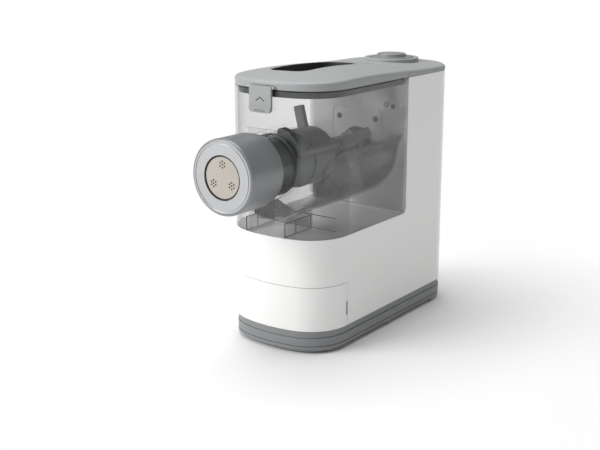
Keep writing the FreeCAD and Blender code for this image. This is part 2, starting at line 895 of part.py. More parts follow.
def second_stage_gear():
    x, z = second_shaft
    pinion_width = third_face + gear_side_gap
    pinion = gear(third_pinion_teeth, third_module, pinion_width, x, z, third_y, second_pinion_phase)
    wheel = gear(second_wheel_teeth, second_module, second_face, x, z, second_y, second_wheel_phase)
    hub = rod(8, case_back_y - 0.5 - second_y, V(x, second_y, z))
    cluster = pinion.fuse(wheel).fuse(hub)
    return cluster.cut(rod(pin_radius + running_gap, 60, V(x, third_y - 2, z))).removeSplitter()


def first_stage_gear():
    x, z = first_shaft
    hub = rod(7, second_y - plate_y - plate_thickness - 0.5, V(x, plate_y + plate_thickness + 0.5, z))
    pinion_width = second_face + gear_side_gap
    pinion = gear(second_pinion_teeth, second_module, pinion_width, x, z, second_y, first_pinion_phase)
    wheel = gear(first_wheel_teeth, first_module, first_face, x, z, first_y, first_wheel_phase)
    cluster = hub.fuse(pinion).fuse(wheel)
    return cluster.cut(rod(pin_radius + running_gap, 60, V(x, plate_y, z))).removeSplitter()


def drive_shaft():
    front = coupling_floor()
    shaft = rod(shaft_radius, case_back_y + case_wall + 1.2 - front, on_axis(front))
    clip = ring(shaft_radius + 2, shaft_radius, 1, on_axis(case_back_y + case_wall + 0.2))
    return shaft.fuse(clip).removeSplitter()


# Black dog ring that stands through the panel into the back of the chamber
def drive_coupling():
    front = tower_front - coupling_reach
    inner = coupling_radius - coupling_ring
    floor_y = coupling_floor()
    cup = ring(coupling_radius, inner, floor_y + coupling_web - front, on_axis(front))
    web = ring(coupling_radius, shaft_radius, coupling_web, on_axis(floor_y))
    cup = cup.fuse(web)
    for side in (-1, 1):
        x = side * (inner - dog_reach / 2 + 0.5)
        dog = box(x - dog_reach / 2, x + dog_reach / 2, front + 1, floor_y,
                  axis_height - dog_width / 2, axis_height + dog_width / 2)
        cup = cup.fuse(dog)
    return cup.removeSplitter()


def coupling_floor():
    return tower_front + wall - coupling_web - 0.4


# Motor
def motor_can():
    x, z = motor_axis
    at = V(x, motor_y, z)
    hollow = rod(motor_radius - can_wall, motor_length, at + REAR * can_wall)
    can = rod(motor_radius, motor_length, at).cut(hollow)
    magnets = ring(motor_radius - can_wall, motor_radius - can_wall - magnet_thickness, rotor_length,
                   at + REAR * rotor_setback)
    magnets = magnets.cut(box(-magnet_slot / 2, magnet_slot / 2, motor_y, motor_y + motor_length,
                              z - motor_radius + can_wall, z + motor_radius - can_wall))
    can = can.fuse(magnets)
    can = can.cut(rod(rotor_shaft_radius + motor_bearing_wall, can_wall + 2, at - REAR))
    return can.removeSplitter()


def motor_bearings():
    x, z = motor_axis
    inner = rotor_shaft_radius + running_gap
    outer = rotor_shaft_radius + motor_bearing_wall
    front = ring(outer, inner, motor_bearing_length, V(x, motor_y, z))
    back = ring(outer, inner, motor_bearing_length, V(x, motor_y + motor_length, z))
    return Part.makeCompound([front, back])


def motor_end_cap():
    x, z = motor_axis
    back = V(x, motor_y + motor_length, z)
    spigot_radius_outer = motor_radius - can_wall - fit_gap
    spigot = ring(spigot_radius_outer, spigot_radius_outer - cap_thickness, cap_spigot,
                  back - REAR * cap_spigot)
    cap = rod(motor_radius, cap_thickness, back).fuse(spigot)
    hole = rod(rotor_shaft_radius + motor_bearing_wall, cap_thickness + 2, back - REAR)
    return cap.cut(hole).removeSplitter()


def rotor_shaft():
    x, z = motor_axis
    return rod(rotor_shaft_radius, motor_y + motor_length + 4 - first_y, V(x, first_y, z))


def rotor_core():
    x, z = motor_axis
    front = motor_y + rotor_setback
    core = rod(rotor_radius, rotor_length, V(x, front, z))
    for slot in range(rotor_slots):
        angle = 2 * math.pi * slot / rotor_slots
        at = V(x + rotor_radius * math.sin(angle), front - 1, z + rotor_radius * math.cos(angle))
        core = core.cut(rod(rotor_slot_radius, rotor_length + 2, at))
    return core.cut(rod(rotor_shaft_radius, rotor_length + 2, V(x, front - 1, z)))


def commutator():
    x, z = motor_axis
    return ring(commutator_radius, rotor_shaft_radius, commutator_length,
                V(x, motor_y + rotor_setback + rotor_length + 1, z))


def motor_brushes():
    x, z = motor_axis
    y = motor_y + rotor_setback + rotor_length + 1 + (commutator_length - brush_width) / 2
    near = commutator_radius + brush_gap
    far = motor_radius - can_wall - brush_gap
    half = brush_width / 2
    right = box(x + near, x + far, y, y + brush_width, z - half, z + half)
    left = box(x - far, x - near, y, y + brush_width, z - half, z + half)
    return Part.makeCompound([right, left])


def motor_fan():
    x, z = motor_axis
    y = motor_y + can_wall + fan_setback
    fan = ring(fan_hub_radius, rotor_shaft_radius, fan_thickness, V(x, y, z))
    for blade in range(8):
        vane = box(-fan_vane / 2, fan_vane / 2, y, y + fan_thickness, fan_hub_radius - 1, fan_radius)
        vane.rotate(V(0, 0, 0), REAR, 45 * blade)
        vane.translate(V(x, 0, z))
        fan = fan.fuse(vane)
    return fan.removeSplitter()


def motor_pinion():
    x, z = motor_axis
    pinion = gear(pinion_teeth, first_module, first_face, x, z, first_y, motor_pinion_phase)
    return pinion.cut(rod(rotor_shaft_radius, 30, V(x, first_y - 2, z)))


# Mixing chamber: clear outer wall, half-round trough and ribs in one moulding
def chamber_block(inset, z0, z1, back_inset):
    return front_prism(inset, z0, z1, chamber_back - back_inset)


def trough_front_y():
    return body_front + trough_front_gap


def mixing_chamber():
    low = ledge_height + 0.4
    outer = chamber_block(0, low, chamber_top, 0)
    corner = [e for e in outer.Edges if abs(e.CenterOfMass.y - chamber_back) < 0.01
              and abs(e.CenterOfMass.z - low) < 0.01]
    outer = outer.makeFillet(tower_corner_radius, corner)
    inner = chamber_block(chamber_wall, low - 1, chamber_top + 1, chamber_wall)
    skirt = outer.cut(inner)
    room = chamber_block(chamber_wall / 2, low, chamber_top, chamber_wall / 2)
    trough = trough_solid(trough_radius + trough_wall, trough_front_y() - trough_wall)
    trough = trough.cut(trough_solid(trough_radius, trough_front_y()))
    trough = trough.common(room)
    trough = trough.cut(box(-body_width, body_width, trough_front_y() - trough_wall - 1, trough_front_y(),
                            axis_height + neck_radius + 4, chamber_top + 1))
    body = skirt.fuse(trough)
    for x in side_rib_places:
        rib = box(x - rib_thickness / 2, x + rib_thickness / 2, body_front + 1, body_front + side_rib_depth,
                  low, axis_height - trough_radius + 14)
        body = body.fuse(rib.common(room).cut(trough_solid(trough_radius + 1, trough_front_y() - 1)))
    cross = box(-body_width, body_width, body_front + cross_wall_back,
                body_front + cross_wall_back + rib_thickness, low, axis_height - 20)
    body = body.fuse(cross.common(room).cut(trough_solid(trough_radius + 1, trough_front_y() - 1)))
    neck = ring(neck_radius, neck_radius - neck_wall, trough_front_y() - neck_front, on_axis(neck_front))
    body = body.cut(rod(neck_radius - neck_wall, 60, on_axis(neck_front)).common(
        box(-body_width, body_width, neck_front, trough_front_y() + 1, 0, overall_height)))
    collar = rod(neck_radius + collar_rise, collar_length + trough_front_gap,
                 on_axis(body_front - collar_length))
    body = body.fuse(collar.common(box(-body_width, body_width, -overall_length, trough_front_y(),
                                       0, overall_height)))
    body = body.fuse(neck)
    body = body.cut(rod(neck_radius - neck_wall, trough_front_y() - neck_front + 2, on_axis(neck_front - 1)))
    for turn in range(3):
        thread = ring(neck_radius + 1.2, neck_radius - 0.5, 1.6, on_axis(neck_front + 4 + 5 * turn))
        body = body.fuse(thread)
    body = body.cut(rod(coupling_radius + shaft_hole_gap, 10, on_axis(chamber_back - 8)))
    catch = box(latch_middle - catch_width / 2, latch_middle + catch_width / 2,
                body_front - catch_reach, body_front + 1, catch_height, catch_height + 1.6)
    body = body.fuse(catch)
    for x in (-hinge_lug_place, hinge_lug_place):
        body = body.fuse(hinge_lug(x))
        body = body.cut(across(hinge_pin_radius + running_gap, 30, x, hinge_y(), hinge_height))
    return body.removeSplitter()


# Lug that carries the lid's pin above the back wall
def hinge_lug(x):
    x0 = x - hinge_lug_width / 2
    x1 = x + hinge_lug_width / 2
    r = hinge_lug_radius
    front = hinge_y() - r
    low = band_bottom + 0.4
    root = box(x0, x1, chamber_back - chamber_wall, lid_back, chamber_top - 6, hinge_height - r)
    knee = box(x0, x1, front, lid_back, low, hinge_height - r)
    stem = box(x0, x1, front, front + 2 * r, low, hinge_height)
    eye = across(r, hinge_lug_width, x, hinge_y(), hinge_height)
    return root.fuse(knee).fuse(stem).fuse(eye)


# The trough's inside at a radius: half a cylinder, opening to the sides above the axis
def trough_solid(radius, front):
    back = chamber_back + 1
    grow = radius - trough_radius
    half = body_width / 2 + 1
    rise = shoulder_rise - grow
    points = [V(-radius, front, axis_height), V(-half, front, axis_height + rise),
              V(-half, front, chamber_top + 2), V(half, front, chamber_top + 2),
              V(half, front, axis_height + rise), V(radius, front, axis_height)]
    edges = [Part.LineSegment(a, b).toShape() for a, b in zip(points, points[1:])]
    edges.append(Part.Arc(points[-1], V(0, front, axis_height - radius), points[0]).toShape())
    return Part.Face(Part.Wire(edges)).extrude(V(0, back - front, 0))


def hinge_y():
    return lid_back - hinge_setback


# Dark barrel that guides the dough from the trough to the disc
def extrusion_barrel():
    length = barrel_back - barrel_front
    barrel = ring(barrel_radius, barrel_radius - barrel_wall, length, on_axis(barrel_front))
    mouth = box(-barrel_radius * 0.7, barrel_radius * 0.7, trough_front_y() + 4, barrel_back - 5,
                axis_height - barrel_radius - 2, axis_height - 8)
    stop_at = on_axis(trough_front_y() + contact_gap)
    stop = ring(neck_radius - 0.2, barrel_radius - 0.5, barrel_flange, stop_at)
    return barrel.cut(mouth).fuse(stop.cut(mouth)).removeSplitter()


def auger_screw():
    front = disc_back + 1.5
    back = bell_front - 1.0
    core = rod(screw_core_radius, back - front, on_axis(front))
    length = back - front - screw_flight - 2
    path = Part.makeHelix(screw_pitch, length, screw_core_radius)
    half = screw_flight / 2
    inner = screw_core_radius - 1.5
    outer = screw_radius_outer
    corners = [V(inner, 0, -half), V(outer, 0, -half * 0.5), V(outer, 0, half * 0.5), V(inner, 0, half)]
    profile = Part.makePolygon(corners + corners[:1])
    flight = Part.Wire(path).makePipeShell([profile], True, True)
    flight.rotate(V(0, 0, 0), RIGHT, -90)
    flight.translate(on_axis(front + screw_flight / 2 + 1))
    spigot = rod(spigot_radius, spigot_length, on_axis(back))
    return core.fuse(flight).fuse(spigot).removeSplitter()


# One arm of the paddle: a rounded bar that leans back from the shaft
def arm(setback, angle, lean, room, width, thickness):
    half = width / 2
    reach = trough_radius - room
    bar = box(-half, half, -thickness / 2, thickness / 2, 0, reach)
    bar = bar.makeFillet(arm_rounding, [e for e in bar.Edges if e.BoundBox.ZMax > half])
    bar.rotate(V(0, 0, 0), RIGHT, -lean)
    bar.rotate(V(0, 0, 0), REAR, angle)
    bar.translate(on_axis(tower_front - setback))
    return bar


# A bar that bends round the barrel and is tied back to the shaft by a slanted spoke
def claw():
    inner = barrel_radius + claw_room
    outer = inner + claw_thickness
    middle = (inner + outer) / 2
    front = trough_front_y() + barrel_flange + claw_room
    spread = 2 * outer
    wedge_points = [V(0, front, 0)]
    for angle in (claw_start, (claw_start + claw_end) / 2, claw_end):
        turn = math.radians(angle)
        wedge_points.append(V(spread * math.sin(turn), front, spread * math.cos(turn)))
    wedge = Part.Face(Part.makePolygon(wedge_points + wedge_points[:1])).extrude(V(0, claw_width, 0))
    wedge.translate(V(0, 0, axis_height))
    sweep = ring(outer, inner, claw_width, on_axis(front)).common(wedge)
    for angle in (claw_start, claw_end):
        turn = math.radians(angle)
        end = V(middle * math.sin(turn), front, axis_height + middle * math.cos(turn))
        sweep = sweep.fuse(rod(claw_thickness / 2, claw_width, end))
    turn = math.radians(claw_end)
    start = V(middle * math.sin(turn), front, axis_height + middle * math.cos(turn))
    knee = V(start.x, bell_front + bell_rim, start.z)
    foot = on_axis(tower_front - claw_spoke_setback)
    rail = rod(claw_thickness / 2, knee.y - start.y, start)
    joint = Part.makeSphere(claw_thickness / 2, knee)
    spoke = rod(claw_thickness / 2, (foot - knee).Length, knee, foot - knee)
    return sweep.fuse(rail).fuse(joint).fuse(spoke)


def mixing_paddle():
    back = tower_front - coupling_reach - 0.8
    body = bell()
    body = body.fuse(rod(paddle_shaft_radius, back - bell_front - 5, on_axis(bell_front + 5)))
    body = body.fuse(rod(paddle_shaft_radius + 2.5, 12, on_axis(back - 12)))
    for place in paddle_arms:
        body = body.fuse(arm(*place))
    body = body.fuse(claw())
    body = body.cut(rod(spigot_radius + contact_gap, spigot_length + 0.3, on_axis(bell_front - 1.0)))
    tail = rod(coupling_radius - coupling_ring - 0.5, coupling_floor() - 0.4 - back, on_axis(back))
    slot = dog_width / 2 + 0.25
    tail = tail.cut(box(-body_width, body_width, back + 0.9, tower_front,
                        axis_height - slot, axis_height + slot))
    return body.fuse(tail).removeSplitter()


# Drum behind the barrel that runs down to the shaft in a dome
def bell():
    front = bell_front
    shoulder = front + bell_rim
    back = shoulder + bell_length
    middle = (bell_radius + paddle_shaft_radius) / 2 + bell_bulge
    edges = [
        Part.LineSegment(V(0, front, 0), V(0, front, bell_radius)).toShape(),
        Part.LineSegment(V(0, front, bell_radius), V(0, shoulder, bell_radius)).toShape(),
        Part.Arc(V(0, shoulder, bell_radius), V(0, shoulder + bell_length / 2, middle),
                 V(0, back, paddle_shaft_radius)).toShape(),
        Part.LineSegment(V(0, back, paddle_shaft_radius), V(0, back, 0)).toShape(),
        Part.LineSegment(V(0, back, 0), V(0, front, 0)).toShape(),
    ]
    shape = Part.Face(Part.Wire(edges)).revolve(V(0, 0, 0), REAR, 360)
    shape.translate(V(0, 0, axis_height))
    return shape


# Nut, its silver face, the seal and the shaping disc
def disc_nut():
    back = nose_front + nut_length
    inner = neck_radius + 1.2 + nut_gap
    nut = rod(nut_radius, nut_length, on_axis(nose_front))
    nut = nut.makeFillet(nut_rim, [e for e in nut.Edges if e.BoundBox.YMax < nose_front + 0.01])
    rim = rod(nut_ring_radius, nut_ring_length, on_axis(back))
    nut = nut.fuse(rim)
    nut = nut.cut(rod(inner, nut_length + nut_ring_length, on_axis(disc_front + disc_flange + 0.4)))
    nut = nut.cut(rod(disc_flange_radius + nut_gap, 30, on_axis(disc_front + 2.4)))
    nut = nut.cut(rod(nut_opening, 20, on_axis(nose_front - 1)))
    outer = face_outer_radius()
    nut = nut.cut(rod(outer + 0.05, face_ring_depth, on_axis(nose_front)))
    groove = ring(nut_radius + 1, nut_radius - 0.7, 1.0, on_axis(back - 1.0))
    return nut.cut(groove).removeSplitter()


def face_outer_radius():
    return nut_opening + face_ring_width - 1.5


def nut_face_ring():
    face = ring(face_outer_radius(), nut_opening, face_ring_depth, on_axis(nose_front))
    groove = ring(face_groove_radius + 0.5, face_groove_radius - 0.5, 0.8, on_axis(nose_front - 0.1))
    return face.cut(groove)


def disc_holes(at_y, depth):
    holes = []
    for angle in cluster_angles:
        centre = V(cluster_distance * math.cos(math.radians(angle)), at_y,
                   axis_height + cluster_distance * math.sin(math.radians(angle)))
        holes.append(rod(hole_radius, depth, centre))
        for count, radius in ((6, hole_pitch),):
            for step in range(count):
                turn = 2 * math.pi * step / count + math.radians(angle)
                at = centre + V(radius * math.cos(turn), 0, radius * math.sin(turn))
                holes.append(rod(hole_radius, depth, at))
    return holes


def shaping_disc():
    flange_y = disc_front + 2.4 + nut_gap
    boss = rod(disc_boss_radius, disc_back - disc_front + 0.4, on_axis(disc_front - 0.4))
    flange = rod(disc_flange_radius, disc_back - flange_y, on_axis(flange_y))
    disc = boss.fuse(flange)
    for hole in disc_holes(disc_front - 2, disc_thickness + 4):
        disc = disc.cut(hole)
    return disc.removeSplitter()


def disc_seal():
    flange_y = disc_front + 2.4 + nut_gap
    return ring(disc_boss_radius + seal_width, disc_boss_radius, flange_y - disc_front, on_axis(disc_front))


# Lid, with the opening for its water tray
def lid_shell():
    outer = crown_block().common(front_half(lid_back))
    inner = front_prism(cover_skin, band_bottom - 1, crown_clear, lid_back - cover_skin)
    inner = inner.common(crown_solid(cover_skin))
    lid = outer.cut(inner)
    lid = lid.cut(tray_solid(tray_lip + fit_gap, band_bottom - 1, crown_clear))
    keep = across(hinge_setback, body_width + 2, 0, hinge_y(), hinge_height)
    corner = box(-body_width, body_width, hinge_y(), lid_back + 1, hinge_height, crown_clear)
    lid = lid.cut(corner.cut(keep))
    for side in (-1, 1):
        x = side * (hinge_lug_place + hinge_lug_width + 1)
        lug = across(hinge_lug_radius + 1, hinge_lug_width, x, hinge_y(), hinge_height)
        web = box(x - hinge_lug_width / 2, x + hinge_lug_width / 2, hinge_y() - 2.2, lid_back - 1,
                  hinge_height - 6, hinge_height)
        lid = lid.fuse(lug.fuse(web).common(crown_solid(0.3)).common(
            box(-body_width, body_width, -overall_length, lid_back - 0.1,
                band_bottom + liner_floor + fit_gap, crown_clear)))
        x = side * hinge_lug_place
        room = hinge_lug_width / 2 + 0.5
        lid = lid.cut(across(hinge_lug_radius + 0.4, 2 * room, x, hinge_y(), hinge_height))
        lid = lid.cut(box(x - room, x + room, hinge_y() - hinge_lug_radius - 0.4, lid_back + 1,
                          band_bottom - 1, hinge_height))
        lid = lid.cut(box(x - room, x + room, hinge_y(), lid_back + 1, hinge_height - 1, crown_clear))
    lid = lid.cut(lid_hinge_pin())
    seat = latch_width / 2 + 0.5
    lid = lid.cut(box(latch_middle - seat, latch_middle + seat, body_front - 10, body_front + 1.6,
                      band_bottom - 1, latch_top + 0.6))
    lid = lid.cut(latch_pin())
    return lid.removeSplitter()


# Upright block with rounded corners where the water tray is, grown on every side
def tray_solid(grow, low, high):
    left = tray_middle - tray_width / 2 - grow
    right = tray_middle + tray_width / 2 + grow
    block = box(left, right, body_front + tray_front - grow, tower_front - tray_back_room + grow, low, high)
    upright = [e for e in block.Edges if e.BoundBox.ZLength > 1 and e.BoundBox.XLength < 0.01
               and e.BoundBox.YLength < 0.01]
    return block.makeFillet(tray_corner + grow, upright)


def slot_solid():
    half = slot_width / 2
    front = body_front + tray_front + slot_end_room + half
    back = tower_front - tray_back_room - slot_end_room - half
    low = band_bottom - 3
    height = crown_clear - low
    body = box(tray_middle - half, tray_middle + half, front, back, low, low + height)
    for y in (front, back):
        body = body.fuse(rod(half, height, V(tray_middle, y, low), UP))
    return body.removeSplitter()


def latch_y():
    return body_front - latch_gap - latch_thickness / 2 + 1.2


# Dark liner: ceiling of the mixing space, skirt round it and the water tray with its slot
def lid_skirt():
    inset = chamber_wall + skirt_gap
    low = band_bottom - lid_skirt_depth
    skirt = front_prism(inset, low, band_bottom + 1, chamber_back - inset)
    inside = inset + skirt_wall
    skirt = skirt.cut(front_prism(inside, low - 1, band_bottom + 2, chamber_back - inside))
    ceiling = front_prism(cover_skin + fit_gap, band_bottom, band_bottom + liner_floor,
                          lid_back - cover_skin - fit_gap)
    liner = skirt.fuse(ceiling)
    tray = tray_solid(tray_lip, band_bottom, crown_clear).common(crown_solid(fit_gap))
    tray = tray.cut(tray_solid(0, band_bottom + liner_floor, crown_clear))
    liner = liner.fuse(tray).cut(slot_solid())
    for side in (-1, 1):
        x = side * hinge_lug_place
        room = hinge_lug_width / 2 + 0.6
        liner = liner.cut(box(x - room, x + room, hinge_y() - hinge_lug_radius - 2.0, lid_back + 3,
                              chamber_top + 0.6, band_bottom + liner_floor + 1))
    seat = latch_width / 2 + 1
    liner = liner.cut(box(latch_middle - seat, latch_middle + seat, body_front - 10, body_front + 2.6,
                          band_bottom - 0.1, band_bottom + liner_floor + 1))
    return liner.removeSplitter()


def lid_hinge_pin():
    return across(hinge_pin_radius, hinge_pin_length, 0, hinge_y(), hinge_height)


def lid_latch():
    left = latch_middle - latch_width / 2
    right = latch_middle + latch_width / 2
    front = body_front - latch_gap - latch_thickness
    plate = box(left, right, front, front + latch_thickness, latch_bottom, latch_top)
    low = [e for e in plate.Edges if e.BoundBox.ZMax < latch_bottom + 0.01 and e.BoundBox.XLength < 0.01]
    plate = plate.makeFillet(latch_corner, low)
    grip_top = latch_bottom + latch_step
    plate = plate.cut(box(left - 1, right + 1, front - 2, front + 1.0, grip_top, latch_top + 1))
    hook = box(latch_middle - catch_width / 2, latch_middle + catch_width / 2,
               front + latch_thickness - 0.2, body_front - 0.4, catch_height - 2.0, catch_height - 0.3)
    tongue = box(left + 1, right - 1, front + 1.0, body_front + 1.0, latch_pin_height - 2.2, latch_top - 0.3)
    latch = plate.fuse(hook).fuse(tongue)
    hole = across(latch_pin_radius + running_gap, latch_width + 4, latch_middle, latch_y(), latch_pin_height)
    return latch.cut(hole).removeSplitter()


def latch_pin():
    return across(latch_pin_radius, latch_width + 6, latch_middle, latch_y(), latch_pin_height)


# Interlock pins that the lid and the chamber press
def interlock_pin(x, z, radius):
    front = tower_front - pin_head
    pin = rod(radius, pin_length, V(x, front, z))
    return pin


def interlock_bushes():
    bushes = []
    for _, x, z, radius in pins:
        bush = ring(radius + bush_rim, radius + running_gap, bush_length, V(x, tower_front - 0.1, z))
        bushes.append(bush)
    return Part.makeCompound(bushes)


def micro_switches():
    switches = []
    for _, x, z, radius in pins:
        y = tower_front - pin_head + pin_length + pin_travel + 0.4
        switches.append(box(x - 3.4, x + 3.4, y, y + 9, z - switch_drop, z + 20 - switch_drop))
    return Part.makeCompound(switches)


def switch_bracket():
    y = tower_front - pin_head + pin_length + pin_travel + 0.4 + 9
    x0 = pins[0][1] - 5
    x1 = body_width / 2 - wall
    low = pins[1][2] + 1
    back = box(x0, x1, y, y + 2, low, low + 16)
    foot = box(x1 - 2, x1, y, y + 12, low, low + 16)
    return back.fuse(foot).removeSplitter()


def cord_gland():
    at = V(gland_place, body_back - 0.2 - gland_length, gland_height)
    gland = ring(gland_radius - contact_gap, gland_bore, gland_length, at)
    flange = ring(gland_flange, gland_bore, 2.0, V(gland_place, body_back - wall - 2.0, gland_height))
    return gland.fuse(flange).removeSplitter()


BUILDERS = {
    "main_housing": main_housing,
    "base_tray": base_tray,
    "rubber_feet": rubber_feet,
    "housing_screws": housing_screws,
    "drive_panel": drive_panel,
    "panel_screws": panel_screws,
    "drawer_bay": drawer_bay,
    "drawer_front": drawer_front,
    "drawer_tray": drawer_tray,
    "rear_cover": rear_cover,
    "knob_dish": knob_dish,
    "selector_knob": selector_knob,
    "knob_shaft": knob_shaft,
    "selector_switch": selector_switch,
    "control_board": control_board,
    "board_shelf": board_shelf,
    "gearbox_plate": gearbox_plate,
    "gearbox_case": gearbox_case,
    "gearbox_screws": gearbox_screws,
    "gear_pins": gear_pins,
    "output_bearings": output_bearings,
    "output_gear": output_gear,
    "second_stage_gear": second_stage_gear,
    "first_stage_gear": first_stage_gear,
    "drive_shaft": drive_shaft,
    "drive_coupling": drive_coupling,
    "motor_can": motor_can,
    "motor_bearings": motor_bearings,
    "motor_end_cap": motor_end_cap,
    "rotor_shaft": rotor_shaft,
    "rotor_core": rotor_core,
    "commutator": commutator,
    "motor_brushes": motor_brushes,
    "motor_fan": motor_fan,
    "motor_pinion": motor_pinion,
    "mixing_chamber": mixing_chamber,
    "extrusion_barrel": extrusion_barrel,
    "auger_screw": auger_screw,
    "mixing_paddle": mixing_paddle,
    "disc_nut": disc_nut,
    "nut_face_ring": nut_face_ring,
    "shaping_disc": shaping_disc,
    "disc_seal": disc_seal,
    "lid_shell": lid_shell,
    "lid_skirt": lid_skirt,
    "lid_hinge_pin": lid_hinge_pin,
    "lid_latch": lid_latch,
    "latch_pin": latch_pin,
    "interlock_bushes": interlock_bushes,
    "micro_switches": micro_switches,
    "switch_bracket": switch_bracket,
    "cord_gland": cord_gland,
}

os.makedirs("parts", exist_ok=True)
for name, build in BUILDERS.items():
    save(name, build())
for name, x, z, radius in pins:
    save(name, interlock_pin(x, z, radius))
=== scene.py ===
# %% [markdown]
# # An electric pasta maker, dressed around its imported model
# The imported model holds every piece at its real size. This script gives each piece its finish,
# adds small marks that only the eye needs, and turns a knob with a closed cap to stand in for the
# packed one.
# All lengths are in metres, and the nose points along -Y.

# %% Load the frame and note its size
import math
import bmesh
import bpy
from mathutils import Matrix, Vector


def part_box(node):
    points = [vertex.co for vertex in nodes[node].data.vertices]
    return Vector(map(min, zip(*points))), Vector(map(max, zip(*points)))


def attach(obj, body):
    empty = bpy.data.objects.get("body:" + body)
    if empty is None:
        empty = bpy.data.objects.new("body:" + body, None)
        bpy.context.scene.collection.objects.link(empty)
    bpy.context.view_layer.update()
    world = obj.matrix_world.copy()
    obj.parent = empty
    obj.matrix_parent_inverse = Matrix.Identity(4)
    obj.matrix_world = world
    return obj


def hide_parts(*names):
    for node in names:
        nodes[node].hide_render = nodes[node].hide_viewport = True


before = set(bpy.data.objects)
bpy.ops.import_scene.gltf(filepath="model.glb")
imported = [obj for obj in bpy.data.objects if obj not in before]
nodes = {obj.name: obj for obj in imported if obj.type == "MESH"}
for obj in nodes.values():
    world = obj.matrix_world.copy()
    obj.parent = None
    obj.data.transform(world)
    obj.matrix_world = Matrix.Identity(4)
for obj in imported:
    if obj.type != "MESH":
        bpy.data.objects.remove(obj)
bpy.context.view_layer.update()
scene = bpy.context.scene

# %% [markdown]
# ## The camera
# A long lens from the front right, a little above the lid, gives the product view.
# The place was worked out from the body's own edges: 63.6 mm on a 36 mm sensor, with the
# picture moved up by 25 of its 600 pixels, which is what the shift below says.

# %% Camera
azimuth = math.radians(36.31)
elevation = math.radians(13.82)
camera_data = bpy.data.cameras.new("camera")
camera_data.lens = 63.6
camera_data.sensor_width = 36.0
camera_data.shift_y = -25 / 600
camera = bpy.data.objects.new("camera", camera_data)
camera.location = (0.6616, -0.946, 0.4272)
forward = Vector((-math.sin(azimuth) * math.cos(elevation),
                  math.cos(azimuth) * math.cos(elevation),
                  -math.sin(elevation)))
camera.rotation_mode = "QUATERNION"
camera.rotation_quaternion = forward.to_track_quat("-Z", "Y")
scene.collection.objects.link(camera)
scene.camera = camera
scene.view_settings.view_transform = "Standard"
print("camera looks", [round(v, 3) for v in forward])

# %% [markdown]
# ## Helpers for materials
# Every finish is made of nodes. A short helper adds a node and sets its sockets, and another
# makes the fine bump that moulded plastic has: a noise so small that it only breaks up the gloss.

# %% Material helpers
def add(tree, kind, **sockets):
    node = tree.nodes.new(kind)
    for name, value in sockets.items():
        node.inputs[name.replace("_", " ")].default_value = value
    return node


def new_material(name):
    material = bpy.data.materials.new(name)
    material.use_nodes = True
    tree = material.node_tree
    tree.nodes.clear()
    output = tree.nodes.new("ShaderNodeOutputMaterial")
    shader = tree.nodes.new("ShaderNodeBsdfPrincipled")
    tree.links.new(shader.outputs["BSDF"], output.inputs["Surface"])
    return material, tree, shader, output


def object_coordinates(tree):
    return tree.nodes.new("ShaderNodeTexCoord").outputs["Object"]


def grain(tree, shader, scale, strength, distance, detail=3.0):
    noise = add(tree, "ShaderNodeTexNoise", Scale=scale, Detail=detail, Roughness=0.6)
    tree.links.new(object_coordinates(tree), noise.inputs["Vector"])
    bump = add(tree, "ShaderNodeBump", Strength=strength, Distance=distance)
    tree.links.new(noise.outputs["Fac"], bump.inputs["Height"])
    tree.links.new(bump.outputs["Normal"], shader.inputs["Normal"])
    return noise


def mottle(tree, shader, colour, spread, scale):
    noise = add(tree, "ShaderNodeTexNoise", Scale=scale, Detail=4.0, Roughness=0.55)
    tree.links.new(object_coordinates(tree), noise.inputs["Vector"])
    ramp = tree.nodes.new("ShaderNodeValToRGB")
    ramp.color_ramp.elements[0].position = 0.3
    ramp.color_ramp.elements[1].position = 0.7
    low = [c * (1 - spread) for c in colour]
    high = [min(c * (1 + spread), 1.0) for c in colour]
    ramp.color_ramp.elements[0].color = (*low, 1)
    ramp.color_ramp.elements[1].color = (*high, 1)
    tree.links.new(noise.outputs["Fac"], ramp.inputs["Fac"])
    tree.links.new(ramp.outputs["Color"], shader.inputs["Base Color"])


def rough_patches(tree, shader, low, high, scale):
    noise = add(tree, "ShaderNodeTexNoise", Scale=scale, Detail=2.0)
    tree.links.new(object_coordinates(tree), noise.inputs["Vector"])
    spread = tree.nodes.new("ShaderNodeMapRange")
    spread.inputs["To Min"].default_value = low
    spread.inputs["To Max"].default_value = high
    tree.links.new(noise.outputs["Fac"], spread.inputs["Value"])
    tree.links.new(spread.outputs["Result"], shader.inputs["Roughness"])


# %% [markdown]
# ## Plastics
# The shell is a glossy white moulding, the covers are a satin grey with a fine spark-eroded
# grain, and the base is a darker grey of the same kind. One function serves them all, because
# they differ only in colour, gloss and the size of the grain.

# %% Plastic finishes
def plastic(name, colour, rough_low, rough_high, grain_scale, grain_strength, coat=0.0, spread=0.02):
    material, tree, shader, output = new_material(name)
    mottle(tree, shader, colour, spread, 18.0)
    rough_patches(tree, shader, rough_low, rough_high, 30.0)
    grain(tree, shader, grain_scale, grain_strength, 0.0002)
    shader.inputs["IOR"].default_value = 1.48
    shader.inputs["Coat Weight"].default_value = coat
    shader.inputs["Coat Roughness"].default_value = 0.08
    return material


